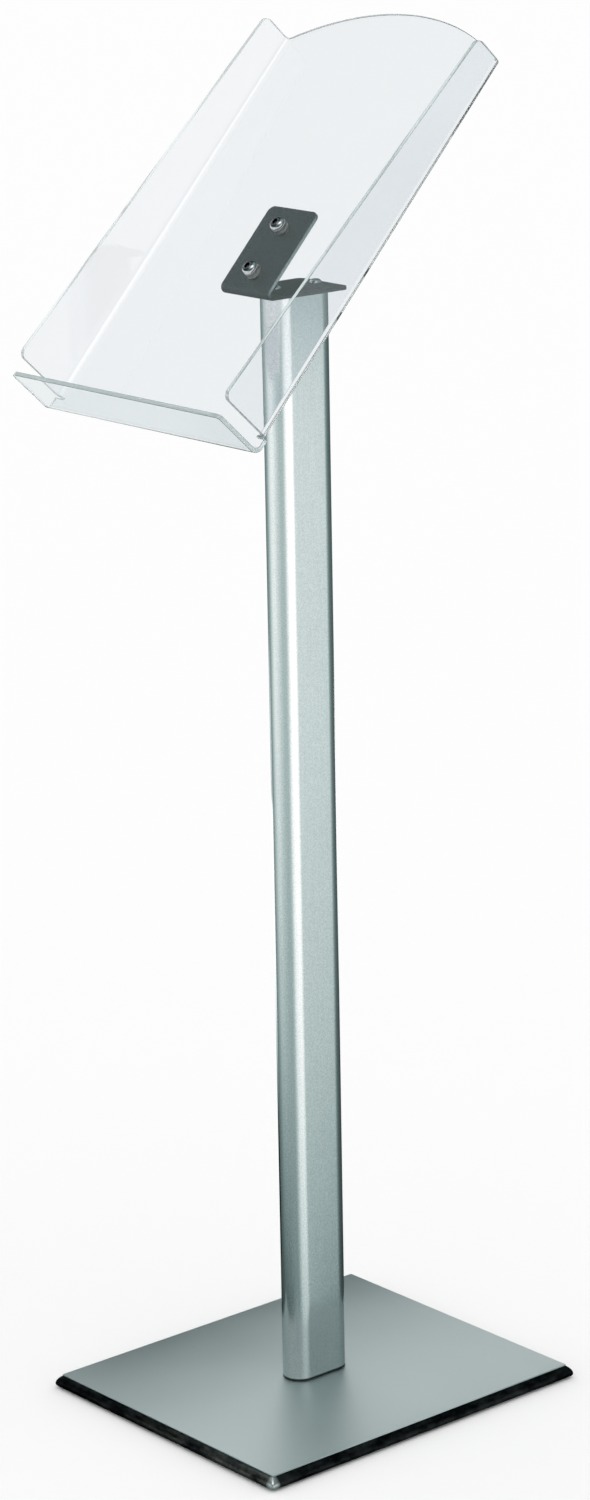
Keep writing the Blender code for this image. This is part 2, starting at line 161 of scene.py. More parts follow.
def arc(centre, radius, start, end, steps):
    turn = (end - start) / steps
    angles = [start + turn * i for i in range(steps + 1)]
    return [(centre[0] + radius * math.cos(a), centre[1] + radius * math.sin(a)) for a in angles]


def filleted(corners, steps):
    """An outline from (x, y, radius) corners, with each corner of a radius made round."""
    outline = []
    for i, (x, y, radius) in enumerate(corners):
        here = Vector((x, y))
        back = (Vector(corners[i - 1][:2]) - here).normalized()
        ahead = (Vector(corners[(i + 1) % len(corners)][:2]) - here).normalized()
        if radius == 0:
            outline.append((x, y))
            continue
        half_angle = back.angle(ahead) / 2
        centre = here + (back + ahead).normalized() * radius / math.sin(half_angle)
        tangent = here + back * radius / math.tan(half_angle) - centre
        swing = tangent.angle_signed(here + ahead * radius / math.tan(half_angle) - centre)
        for k in range(steps + 1):
            spoke = Matrix.Rotation(-swing * k / steps, 2) @ tangent
            outline.append(tuple(centre + spoke))
    return outline


def rounded_rectangle(half_x, half_y, radius, steps):
    signs = ((1, -1), (1, 1), (-1, 1), (-1, -1))
    return filleted([(sx * half_x, sy * half_y, radius) for sx, sy in signs], steps)


def flat_oval(radius, half_flat):
    near = arc((0, -half_flat), radius, math.pi, 2 * math.pi, OVAL_STEPS)
    far = arc((0, half_flat), radius, 0, math.pi, OVAL_STEPS)
    rise = [(radius, half_flat * (2 * i / FLAT_STEPS - 1)) for i in range(1, FLAT_STEPS)]
    fall = [(-x, -y) for x, y in rise]
    return near + rise + far + fall


# ---------------------------------------------------------------- meshes


def ring_of(bm, outline, height):
    return [bm.verts.new((x, y, height)) for x, y in outline]


def bridge(bm, lower, upper):
    count = len(lower)
    for i in range(count):
        j = (i + 1) % count
        bm.faces.new((lower[i], lower[j], upper[j], upper[i]))


def lofted(layers, hollow=False):
    """A body through (outline, height) layers. A hollow one closes on itself, others get caps."""
    bm = bmesh.new()
    rings = [ring_of(bm, outline, height) for outline, height in layers]
    for lower, upper in zip(rings, rings[1:]):
        bridge(bm, lower, upper)
    if hollow:
        bridge(bm, rings[-1], rings[0])
    else:
        bm.faces.new(rings[0][::-1])
        bm.faces.new(rings[-1])
    return bm


def circle(radius):
    return arc((0, 0), radius, 0, 2 * math.pi, ROUND_STEPS)[:-1]


def hexagon(flats, most=math.inf):
    """A hexagon's outline at the same angles as a circle's, no further out than most."""
    outline = []
    for i in range(ROUND_STEPS):
        angle = 2 * math.pi * i / ROUND_STEPS
        off_flat = (angle + math.pi / 6) % (math.pi / 3) - math.pi / 6
        radius = min(flats / 2 / math.cos(off_flat), most)
        outline.append((radius * math.cos(angle), radius * math.sin(angle)))
    return outline


def new_object(name, bm, material, place=None, sharp=math.radians(35)):
    bmesh.ops.recalc_face_normals(bm, faces=bm.faces)
    mesh = bpy.data.meshes.new(name)
    bm.to_mesh(mesh)
    bm.free()
    mesh.materials.append(material)
    mesh.shade_smooth()
    mesh.set_sharp_from_angle(angle=sharp)
    obj = bpy.data.objects.new(name, mesh)
    bpy.context.scene.collection.objects.link(obj)
    if place:
        position, facing = place
        obj.matrix_world = Matrix.Translation(position) @ facing.to_4x4()
    return obj


def even_normals(obj):
    """Flat faces keep their own direction, so that a curve beside one doesn't bend what it mirrors."""
    modifier = obj.modifiers.new("even_normals", "WEIGHTED_NORMAL")
    modifier.keep_sharp = True
    modifier.weight = 50


def carve(obj, cutters):
    """Cut the cutters' volumes out of obj, for good."""
    for cutter in cutters:
        boolean = obj.modifiers.new(cutter.name, "BOOLEAN")
        boolean.operation = "DIFFERENCE"
        boolean.solver = "EXACT"
        boolean.object = cutter
    bpy.context.view_layer.update()
    graph = bpy.context.evaluated_depsgraph_get()
    carved = bpy.data.meshes.new_from_object(obj.evaluated_get(graph))
    obj.modifiers.clear()
    obj.data = carved
    for cutter in cutters:
        bpy.data.objects.remove(cutter)


def finished(obj, slot, *nodes):
    """obj rides on the stand and stands for the CAD nodes. slot is not used."""
    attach(obj, BODY)
    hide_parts(*nodes)
    return obj


def fold(distance, height, inner_radius, thick, turn):
    """Where a point of a flat sheet goes when the sheet is folded: (along, up)."""
    outer_radius = inner_radius + thick
    radius = outer_radius - height
    arc_length = (inner_radius + thick / 2) * turn
    if distance <= 0:
        return distance, height
    angle = min(distance / arc_length, 1) * turn
    straight = max(distance - arc_length, 0)
    along = radius * math.sin(angle) + straight * math.cos(angle)
    up = outer_radius - radius * math.cos(angle) + straight * math.sin(angle)
    return along, up


def folded_plate(name, outline, holes, bend_cuts, thick, edge, shape, material):
    """A plate cut to an outline with (x, y, radius) holes, rounded at its edges, then folded.

    cut_edge is 0 on its faces, 1 on its cuts and 0.5 on the rounding between them.
    """
    blank = new_object("blank", lofted([(outline, 0), (outline, thick)]), material)
    drills = []
    for x, y, radius in holes:
        drill = lofted([(circle(radius), -MM), (circle(radius), thick + MM)])
        drills.append(new_object("drill", drill, material, (Vector((x, y, 0)), FACING_UP)))
    carve(blank, drills)
    bm = bmesh.new()
    bm.from_mesh(blank.data)
    bpy.data.objects.remove(blank)
    rim = [e for e in bm.edges if e.is_manifold and e.calc_face_angle() > EDGE_TURN]
    rim = [e for e in rim if abs(e.verts[0].co.z - e.verts[1].co.z) < thick / 2]
    bmesh.ops.bevel(
        bm, geom=rim, offset=edge, segments=EDGE_SEGMENTS, profile=0.5, affect="EDGES"
    )
    for point, normal in bend_cuts:
        parts = list(bm.verts) + list(bm.edges) + list(bm.faces)
        bmesh.ops.bisect_plane(bm, geom=parts, plane_co=point, plane_no=normal, dist=1e-6)
    is_edge = bm.faces.layers.float.new("cut_edge")
    bmesh.ops.triangulate(bm, faces=bm.faces)
    for face in bm.faces:
        face.normal_update()
        tilt = abs(face.normal.z)
        face[is_edge] = 0.0 if tilt > FACE_TILT else 1.0 if tilt < CUT_TILT else 0.5
    for vert in bm.verts:
        vert.co = shape(*vert.co)
    return new_object(name, bm, material)


# ---------------------------------------------------------------- materials


class Look:
    """A material's node graph round one Principled shader, in the object's own coordinates."""

    def __init__(self, name, metallic=0.0, **sockets):
        self.material = bpy.data.materials.new(name)
        self.material.use_nodes = True
        self.tree = self.material.node_tree
        self.shader = self.tree.nodes["Principled BSDF"]
        self.shader.inputs["Metallic"].default_value = metallic
        for socket, value in sockets.items():
            self.shader.inputs[socket.replace("_", " ")].default_value = value
        self.place = self.add("ShaderNodeTexCoord").outputs["Object"]

    def add(self, kind, inputs=None, **settings):
        node = self.tree.nodes.new(kind)
        for name, value in settings.items():
            setattr(node, name, value)
        for socket, value in (inputs or {}).items():
            if isinstance(value, bpy.types.NodeSocket):
                self.tree.links.new(value, node.inputs[socket])
            else:
                node.inputs[socket].default_value = value
        return node

    def noise(self, scale, detail=2.0, stretch=(1, 1, 1), roughness=0.5):
        """Noise from 0 to 1; scale is in features per metre, and stretch weighs the axes."""
        placed = self.add("ShaderNodeMapping", {"Vector": self.place, "Scale": stretch})
        noise = self.add(
            "ShaderNodeTexNoise",
            {"Vector": placed.outputs[0], "Scale": scale, "Detail": detail, "Roughness": roughness},
        )
        return noise.outputs["Fac"]

    def ranged(self, value, low, high, start=0.3, end=0.7):
        node = self.add(
            "ShaderNodeMapRange",
            {"Value": value, "From Min": start, "From Max": end, "To Min": low, "To Max": high},
        )
        return node.outputs[0]

    def mixed(self, share, first, second):
        """A colour between two, which are colours or sockets."""
        node = self.add("ShaderNodeMix", data_type="RGBA")
        for index, value in ((0, share), (6, first), (7, second)):
            if isinstance(value, bpy.types.NodeSocket):
                self.tree.links.new(value, node.inputs[index])
            else:
                node.inputs[index].default_value = value if index == 0 else (*value, 1)
        return node.outputs[2]

    def sum_of(self, first, second, weight):
        node = self.add("ShaderNodeMath", operation="MULTIPLY_ADD")
        self.tree.links.new(second, node.inputs[0])
        node.inputs[1].default_value = weight
        self.tree.links.new(first, node.inputs[2])
        return node.outputs[0]

    def colour(self, socket):
        self.tree.links.new(socket, self.shader.inputs["Base Color"])

    def rough(self, socket):
        self.tree.links.new(socket, self.shader.inputs["Roughness"])

    def bump(self, height, depth):
        """Raise the surface by height times depth, in metres."""
        node = self.add("ShaderNodeBump", {"Height": height, "Distance": depth, "Strength": 1.0})
        self.tree.links.new(node.outputs[0], self.shader.inputs["Normal"])


def aluminium_look():
    """Satin anodised extrusion: faint draw lines under an etched speckle, and painted shade as a dark line
    at the foot.
    """
    look = Look("post_aluminium", metallic=1.0)
    lines = look.noise(900, 2, (1, 1, 0.02))
    speckle = look.noise(800, 2)
    grain = look.sum_of(speckle, lines, 0.3)
    metal = look.mixed(look.ranged(grain, 0, 1, 0.45, 0.85), (0.71, 0.725, 0.73), (0.89, 0.905, 0.91))
    height = look.add("ShaderNodeSeparateXYZ", {"Vector": look.place}).outputs["Z"]
    # painted shade: the post goes near black in its lowest 2.4 mm, as a contact shadow on the base
    foot_shade = look.ranged(height, 1, 0, POST_LOW + 1.2 * MM, POST_LOW + 2.4 * MM)
    look.colour(look.mixed(foot_shade, metal, (0.05, 0.055, 0.055)))
    look.rough(look.ranged(speckle, 0.13, 0.18))
    return look.material


def silver_look():
    """Satin silver sheet: almost even, with a very fine grain and slow clouding."""
    look = Look("base_silver", metallic=1.0)
    grain = look.noise(1400, 2)
    cloud = look.noise(9, 2)
    shade = look.sum_of(grain, cloud, 0.8)
    look.colour(look.mixed(look.ranged(shade, 0, 1, 0.6, 1.2), (0.71, 0.765, 0.775), (0.76, 0.815, 0.825)))
    look.rough(look.ranged(cloud, 0.41, 0.45))
    return look.material


def black_look():
    """Satin black enamel with lighter smudge streaks on part of the front rim that carry a painted
    brown-grey reflection, and a bright steel patch on the front right corner that paints the corner's
    glint.
    """
    look = Look("base_black", metallic=1.0, Specular_Tint=(0.4, 0.4, 0.4, 1))
    smear = look.noise(60, 5, (1, 1, 2.5), 0.65)
    patch = look.noise(14, 2)
    cloud = look.sum_of(smear, patch, 0.7)
    enamel = look.mixed(look.ranged(cloud, 0, 1, 0.75, 1.2), (0.006, 0.007, 0.008), (0.06, 0.06, 0.062))
    axes = look.add("ShaderNodeSeparateXYZ", {"Vector": look.place})
    past_cover = []
    for axis, side, half in (("X", 1.0, COVER_X / 2), ("Y", -1.0, COVER_Y / 2)):
        terms = {0: axes.outputs[axis], 1: side, 2: -half}
        past_cover.append(look.add("ShaderNodeMath", terms, operation="MULTIPLY_ADD").outputs[0])
    past_right, past_front = past_cover
    past_both = look.add("ShaderNodeMath", {0: past_right, 1: past_front}, operation="MINIMUM").outputs[0]
    # painted highlight: only the front right corner turns to bright steel, so that it shows a glint; the
    # other corners stay black
    glint_patch = look.ranged(past_both, 0, 1, -4 * MM, 0.5 * MM)
    # painted reflection: lighter brown-grey smudge streaks on the front rim, stronger towards the front
    # corner
    along = look.ranged(axes.outputs["X"], 0, 1, -70 * MM, 130 * MM)
    on_front = look.ranged(past_front, 0, 1, 0, MM)
    streaks = look.ranged(look.noise(110, 6, (0.4, 1, 1), 0.7), 0, 1, 0.42, 0.62)
    smudge_sheen = look.add("ShaderNodeMath", {0: along, 1: on_front}, operation="MULTIPLY").outputs[0]
    smudge_sheen = look.add("ShaderNodeMath", {0: smudge_sheen, 1: streaks}, operation="MULTIPLY").outputs[0]
    smudge_sheen_enamel = look.mixed(smudge_sheen, enamel, (0.17, 0.16, 0.15))
    look.colour(look.mixed(glint_patch, smudge_sheen_enamel, (0.66, 0.67, 0.67)))
    look.rough(look.ranged(smear, 0.30, 0.46))
    return look.material


def bracket_look():
    """Dark brushed steel: hairlines and a fine tooth, with lighter bare cut edges above the level leg that
    are a painted highlight.
    """
    look = Look("bracket_steel", metallic=1.0, Specular_Tint=(0.35, 0.37, 0.38, 1))
    hairlines = look.noise(1500, 3, (1, 0.02, 0.02))
    tooth = look.noise(1100, 2)
    cloud = look.noise(30, 2)
    grain = look.sum_of(look.sum_of(hairlines, tooth, 0.3), cloud, 1.2)
    face = look.mixed(look.ranged(grain, 0, 1, 0.9, 1.6), (0.022, 0.027, 0.029), (0.042, 0.050, 0.053))
    edge = look.add("ShaderNodeAttribute", attribute_name="cut_edge").outputs["Fac"]
    height = look.add("ShaderNodeSeparateXYZ", {"Vector": look.place}).outputs["Z"]
    # painted highlight: cut edges turn to light bare steel only above the level leg, where they catch the
    # light
    above_level_leg = look.ranged(height, 0, 1, LEVEL_HIGH, LEVEL_HIGH + 8 * MM)
    bare_edge_highlight = look.add("ShaderNodeMath", {0: edge, 1: above_level_leg}, operation="MULTIPLY").outputs[0]
    look.colour(look.mixed(bare_edge_highlight, face, (0.42, 0.48, 0.48)))
    look.rough(look.ranged(tooth, 0.22, 0.32))
    return look.material


def screw_look():
    """Bright stainless steel, a little dulled, with painted shade in the sockets and darker on the heads'
    crowns.
    """
    look = Look("screw_steel", metallic=1.0)
    dulling = look.noise(420, 3)
    bright = look.mixed(look.ranged(dulling, 0, 1), (0.58, 0.59, 0.60), (0.70, 0.71, 0.72))
    recess = look.add("ShaderNodeAttribute", attribute_name="recess").outputs["Fac"]
    # painted shade: faces with recess 1, inside the sockets, go near black
    look.colour(look.mixed(recess, bright, (0.06, 0.065, 0.07)))
    look.rough(look.ranged(dulling, 0.12, 0.22))
    return look.material


def insert_look():
    """Plain machined aluminium."""
    look = Look("insert_metal", metallic=1.0)
    marks = look.noise(700, 2, (0.05, 0.05, 1))
    look.colour(look.mixed(look.ranged(marks, 0, 1), (0.50, 0.51, 0.52), (0.62, 0.63, 0.64)))
    look.rough(look.ranged(marks, 0.35, 0.5))
    look.bump(marks, 0.00002)
    return look.material


def nylon_look():
    """Natural nylon: milky, slightly translucent, with a soft moulded skin."""
    look = Look("nylon_clear", Transmission_Weight=0.35, IOR=1.53)
    skin = look.noise(900, 2)
    look.colour(look.mixed(look.ranged(skin, 0, 1), (0.82, 0.85, 0.84), (0.90, 0.92, 0.91)))
    look.rough(look.ranged(skin, 0.32, 0.48))
    look.bump(skin, 0.00001)
    return look.material


def rubber_look():
    """Matt black rubber sheet with a fine pebble."""
    look = Look("mat_rubber")
    pebble = look.noise(1300, 3)
    look.colour(look.mixed(look.ranged(pebble, 0, 1), (0.016, 0.016, 0.017), (0.034, 0.034, 0.035)))
    look.rough(look.ranged(pebble, 0.75, 0.95))
    look.bump(pebble, 0.00008)
    return look.material


def acrylic_look():
    """Clear cast acrylic. Its cut edges are greyer and softer. A dark line of painted shade runs along
    their rounding, and on the left flange the edges and that line are painted pale as painted light.
    """
    look = Look("tray_acrylic", Transmission_Weight=1.0, IOR=1.49)
    edge = look.add("ShaderNodeAttribute", attribute_name="cut_edge").outputs["Fac"]
    haze = look.noise(35, 3)
    face = look.mixed(look.ranged(haze, 0, 1), (0.900, 0.916, 0.934), (0.906, 0.922, 0.940))
    # cut_edge is 0.5 on the rounding only, so this is largest there
    fillet = look.add("ShaderNodeMath", {0: edge, 1: 0.5}, operation="PINGPONG").outputs[0]
    across = look.add("ShaderNodeSeparateXYZ", {"Vector": look.place}).outputs["X"]
    left_inside = SHEET - TRAY_WIDTH / 2
    on_left = look.ranged(across, 1, 0, left_inside, left_inside + MM)
    # painted shade: a dark teal line on the edge rounding; painted light: on the left flange the cut faces
    # and that line are pale
    cut = look.mixed(edge, face, look.mixed(on_left, (0.62, 0.70, 0.70), (0.88, 0.92, 0.92)))
    painted_edge_line = look.mixed(on_left, (0.28, 0.34, 0.34), (0.80, 0.85, 0.85))
    look.colour(look.mixed(look.ranged(fillet, 0, 1, 0, 0.5), cut, painted_edge_line))
    see_through = look.add("ShaderNodeMath", {0: edge, 1: -0.6, 2: 1.0}, operation="MULTIPLY_ADD")
    look.tree.links.new(see_through.outputs[0], look.shader.inputs["Transmission Weight"])
    polish = look.ranged(haze, 0.0, 0.012)
    look.rough(look.sum_of(polish, edge, 0.05))
    return look.material


# ---------------------------------------------------------------- pieces


def base_outline(out):
    corner = COVER_CORNER + out / 3
    return rounded_rectangle(COVER_X / 2 + out, COVER_Y / 2 + out, corner, RIM_CORNER_STEPS)


def rim_layers():
    layers = []
    for i in range(TUCK_STEPS):
        below = 1 - i / TUCK_STEPS
        layers.append((base_outline(RIM_OUT - RIM_TUCK * below**2), PLATE_LOW + RIM_WIDEST * (1 - below)))
    rise = PLATE_HIGH - PLATE_LOW - RIM_WIDEST
    for i in range(RIM_STEPS + 1):
        above = i / RIM_STEPS
        layers.append((base_outline(RIM_OUT * (1 - above**2)), PLATE_LOW + RIM_WIDEST + rise * above))
    return layers


def make_base(black, silver, steel):
    slab = new_object("base_slab", lofted(rim_layers()), black, sharp=math.radians(25))
    cover_layers = [
        (base_outline(0), COVER_LOW),
        (base_outline(0), COVER_HIGH - COVER_EDGE),
        (base_outline(-0.3 * COVER_EDGE), COVER_HIGH - 0.3 * COVER_EDGE),
        (base_outline(-COVER_EDGE), COVER_HIGH),
    ]
    skin = new_object("base_skin", lofted(cover_layers), silver, sharp=math.radians(50))
    shank, head, cone = M8_COUNTERSUNK[:3]
    wide, narrow = head + HOLE_PLAY, shank + HOLE_PLAY
    through = PLATE_HIGH - PLATE_LOW + MM
    seats, holes = [], []
    for side, y in zip(("front", "back"), BASE_BOLT_Y):
        cone_end = BASE_BOLT_RECESS + cone + HOLE_PLAY
        profile = [(wide, -MM), (wide, BASE_BOLT_RECESS), (narrow, cone_end), (narrow, through)]
        seat = lofted([(circle(radius), height) for radius, height in profile])
        seats.append(new_object("seat", seat, black, (Vector((0, y, PLATE_LOW)), FACING_UP)))
        hole = lofted([(circle(narrow), COVER_LOW - MM), (circle(narrow), COVER_HIGH + MM)])
        holes.append(new_object("hole", hole, silver, (Vector((0, y, 0)), FACING_UP)))
        place = (Vector((0, y, PLATE_LOW + BASE_BOLT_RECESS)), FACING_DOWN)
        bolt = countersunk_bolt("foot_bolt_" + side, M8_COUNTERSUNK, BASE_BOLT_LENGTH, steel, place)
        finished(bolt, "screw_steel", "base_bolt_" + side)
    carve(slab, seats)
    carve(skin, holes)
    even_normals(slab)
    even_normals(skin)
    finished(slab, "base_black", "base_plate")
    finished(skin, "base_silver", "base_cover")


def make_post(aluminium):
    profile = [
        (POST_EDGE, POST_LOW),
        (0, POST_LOW + POST_EDGE),
        (0, POST_HIGH - POST_EDGE),
        (POST_EDGE, POST_HIGH),
        (POST_WALL - POST_EDGE, POST_HIGH),
        (POST_WALL, POST_HIGH - POST_EDGE),
        (POST_WALL, POST_LOW + POST_EDGE),
        (POST_WALL - POST_EDGE, POST_LOW),
    ]
    layers = [(flat_oval(POST_RADIUS - inwards, POST_HALF_FLAT), height) for inwards, height in profile]
    post = new_object("post_tube", lofted(layers, hollow=True), aluminium)
    even_normals(post)
    finished(post, "post_aluminium", "post")


def threaded(radius, pitch, length, start):
    """Layers up a screw's thread from its tip at -length to start, as (outline, height)."""
    depth = 0.6 * pitch
    steps = max(THREAD_LAYERS, round((length + start) / pitch * THREAD_LAYERS))
    layers = []
    for k in range(steps + 1):
        height = -length + (length + start) * k / steps
        lead_in = min(1.0, (height + length) / pitch)
        outline = []
        for i in range(ROUND_STEPS):
            turn = i / ROUND_STEPS
            phase = (height / pitch - turn) % 1
            crest = abs(2 * phase - 1)
            r = radius - depth * (1 - min(crest * 1.25, 1)) - 0.35 * depth * (1 - lead_in)
            outline.append((r * math.cos(2 * math.pi * turn), r * math.sin(2 * math.pi * turn)))
        layers.append((outline, height))
    return layers


def hex_socket(flats, top, depth):
    """Layers from a head's top down into its socket."""
    return [
        (hexagon(flats + 2 * SOCKET_LEAD), top),
        (hexagon(flats), top - SOCKET_LEAD),
        (hexagon(flats), top - depth),
        (circle(0.25 * flats), top - depth - 0.15 * flats),
    ]


def button_screw(name, size, length, pitch, steel, place):
    """Domed head with a hexagon socket; its origin is under the head and its tip points down.

    recess is 1 in the socket, where it paints shade, less on the crown round it and 0 elsewhere.
    """
    shank, head, head_height, flats, depth = size
    layers = threaded(shank, pitch, length, -2 * pitch)
    layers += [(circle(shank), -1.6 * pitch), (circle(shank), 0)]
    layers += [(circle(head - 0.3 * MM), 0), (circle(head), 0.25 * MM)]
    rise = head_height - HEAD_RIM
    flat_top = flats / math.sqrt(3) + 0.75 * MM
    reach = math.acos(flat_top / head)
    scale = rise / math.sin(reach)
    for i in range(DOME_STEPS + 1):
        angle = reach * i / DOME_STEPS
        layers.append((circle(head * math.cos(angle)), HEAD_RIM + scale * math.sin(angle)))
    layers += hex_socket(flats, head_height, depth)
    screw = new_object(name, lofted(layers), steel, place)
    recess = screw.data.attributes.new("recess", "FLOAT", "FACE")
    for face, entry in zip(screw.data.polygons, recess.data):
        x, y, z = face.center
        off_axis = math.hypot(x, y)
        inside = 0 < z < head_height - 0.05 * MM and off_axis < flats / math.sqrt(3)
        crown = z > 0 and off_axis < CROWN * head
        entry.value = 1.0 if inside else CROWN_DARKNESS * crown
    even_normals(screw)
    return screw


def countersunk_bolt(name, size, length, steel, place):
    """Cone head with a hexagon socket; its origin is on the head's flat face, its tip below it."""
    shank, head, cone, flats, depth = size
    edge = 0.4 * MM
    layers = threaded(shank, M8_PITCH, length, -cone - edge - 2 * MM)
    layers += [(circle(shank), -cone - edge - MM), (circle(shank), -cone - edge)]
    layers += [(circle(head), -edge), (circle(head), -0.1 * MM), (circle(head - 0.1 * MM), 0)]
    layers += hex_socket(flats, 0, depth)
    bolt = new_object(name, lofted(layers), steel, place)
    even_normals(bolt)
    return bolt


def ring_washer(name, outer, inner, thick, edge, material, place):
    profile = [
        (inner, edge), (inner, thick - edge), (inner + edge, thick), (outer - edge, thick),
        (outer, thick - edge), (outer, edge), (outer - edge, 0), (inner + edge, 0),
    ]
    layers = [(circle(radius), height) for radius, height in profile]
    ring = new_object(name, lofted(layers, hollow=True), material, place)
    even_normals(ring)
    return ring


def hexagon_nut(name, steel, place):
    """Chamfered nut; the corners are cut back by a cone at both ends."""
    apothem = NUT_FLATS / 2
    corner = apothem / math.cos(math.pi / 6)
    slope = math.tan(NUT_CHAMFER)
    bore = M8_BUTTON[0] + GAP
    steps = NUT_CHAMFER_STEPS
    reaches = [apothem * 0.96 + (corner - apothem * 0.96) * i / steps for i in range(steps + 1)]
    bottom = [(hexagon(NUT_FLATS, r), (r - reaches[0]) * slope) for r in reaches]
    top = [(outline, NUT_HEIGHT - height) for outline, height in reversed(bottom)]
    lead = 0.7 * MM
    inner = [
        (circle(bore + lead), NUT_HEIGHT), (circle(bore), NUT_HEIGHT - lead),
        (circle(bore), lead), (circle(bore + lead), 0),
    ]
    nut = new_object(name, lofted(bottom + top + inner, hollow=True), steel, place)
    even_normals(nut)
    return nut


def make_bracket(plate_material, steel):
    turn = math.pi - TRAY_SLOPE
    bend_length = (BRACKET_INNER_RADIUS + BRACKET_THICK / 2) * turn
    half = BRACKET_WIDTH / 2
    ends = (-LEVEL_LEG, bend_length + SLOPING_LEG)
    blank = [(half, ends[0]), (half, ends[1]), (-half, ends[1]), (-half, ends[0])]
    outline = filleted([(x, y, BRACKET_CORNER) for x, y in blank], CORNER_STEPS)
    cuts = []
    for i in range(BRACKET_BEND_STEPS + 1):
        cuts.append(((0, bend_length * i / BRACKET_BEND_STEPS, 0), (0, 1, 0)))

    def shape(x, y, height):
        along, up = fold(y, height, BRACKET_INNER_RADIUS, BRACKET_THICK, turn)
        return x, BRACKET_BEND_Y - along, LEVEL_LOW + up

    holes = [(0, BRACKET_BEND_Y - y, M6_BUTTON[0] + HOLE_PLAY) for y in HEAD_SCREW_Y]
    outer_radius = BRACKET_INNER_RADIUS + BRACKET_THICK
    for along in TRAY_SCREW_AT:
        reach = BRACKET_BEND_Y - tray_point(0, along, -TRAY_SPACER).y
        straight = (reach - outer_radius * math.sin(turn)) / math.cos(turn)
        holes.append((0, bend_length + straight, M8_BUTTON[0] + HOLE_PLAY))
    plate = folded_plate(
        "bracket_plate", outline, holes, cuts, BRACKET_THICK, BRACKET_EDGE, shape, plate_material
    )
    even_normals(plate)
    finished(plate, "bracket_steel", "bracket")
    for side, y in zip(("front", "back"), HEAD_SCREW_Y):
        place = (Vector((0, y, LEVEL_HIGH + GAP)), FACING_UP)
        screw = button_screw("post_screw_" + side, M6_BUTTON, HEAD_SCREW_LENGTH, M6_PITCH, steel, place)
        finished(screw, "screw_steel", "head_screw_" + side)


def tray_point(x, along, off):
    """A point from the reader's left to right, up the tray, and off its back face."""
    return TRAY_ORIGIN + Vector((x, 0, 0)) + along * UP_TRAY + off * OFF_TRAY


def tray_blank(fold_line, fold_length, fold_outer):
    lip_end = fold_outer - fold_length - (LIP_HEIGHT - fold_outer)
    low_end = fold_line + fold_length + FLANGE_LOW_HEIGHT - fold_outer
    top_end = fold_line + fold_length + FLANGE_TOP_HEIGHT - fold_outer
    slit_end = fold_line - SLIT_INSIDE
    right = [
        (TRAY_WIDTH / 2, lip_end, LIP_CORNER),
        (TRAY_WIDTH / 2, FLANGE_FOOT - SLIT, SLIT / 3),
        (slit_end, FLANGE_FOOT - SLIT, SLIT / 3),
        (slit_end, FLANGE_FOOT, SLIT / 3),
        (low_end, FLANGE_FOOT, FLANGE_CORNER),
        (top_end, SHOULDER, FLANGE_CORNER),
    ]
    left = [(-x, y, radius) for x, y, radius in reversed(right)]
    rise = ARCH_TOP - SHOULDER
    radius = (ARCH_HALF_SPAN**2 + rise**2) / (2 * rise)
    half_angle = math.asin(ARCH_HALF_SPAN / radius)
    centre = (0, ARCH_TOP - radius)
    arch = arc(centre, radius, math.pi / 2 - half_angle, math.pi / 2 + half_angle, ARCH_STEPS)
    return filleted(right + [(x, y, 0) for x, y in arch] + left, CORNER_STEPS)


def make_tray(acrylic):
    fold_outer = FOLD_INNER_RADIUS + SHEET
    quarter = math.pi / 2
    fold_length = (FOLD_INNER_RADIUS + SHEET / 2) * quarter
    fold_line = TRAY_WIDTH / 2 - fold_outer
    cuts = []
    for i in range(FOLD_STEPS + 1):
        part = fold_length * i / FOLD_STEPS
        cuts.append(((0, fold_outer - part, 0), (0, 1, 0)))
        cuts.append(((fold_line + part, 0, 0), (1, 0, 0)))
        cuts.append(((-fold_line - part, 0, 0), (1, 0, 0)))

    def shape(x, y, height):
        side = math.copysign(1, x)
        in_flange = y > FLANGE_FOOT - SLIT / 2
        past = abs(x) - fold_line if in_flange else 0
        out, flange_up = fold(past, height, FOLD_INNER_RADIUS, SHEET, quarter)
        across = side * (fold_line + out) if in_flange else x
        down, lip_up = fold(fold_outer - y, height, FOLD_INNER_RADIUS, SHEET, quarter)
        return tray_point(across, fold_outer - down, flange_up + lip_up - height)

    blank = tray_blank(fold_line, fold_length, fold_outer)
    holes = [(0, along, M8_BUTTON[0] + HOLE_PLAY) for along in TRAY_SCREW_AT]
    tray = folded_plate("tray_sheet", blank, holes, cuts, SHEET, SHEET_EDGE, shape, acrylic)
    even_normals(tray)
    finished(tray, "tray_acrylic", "tray")


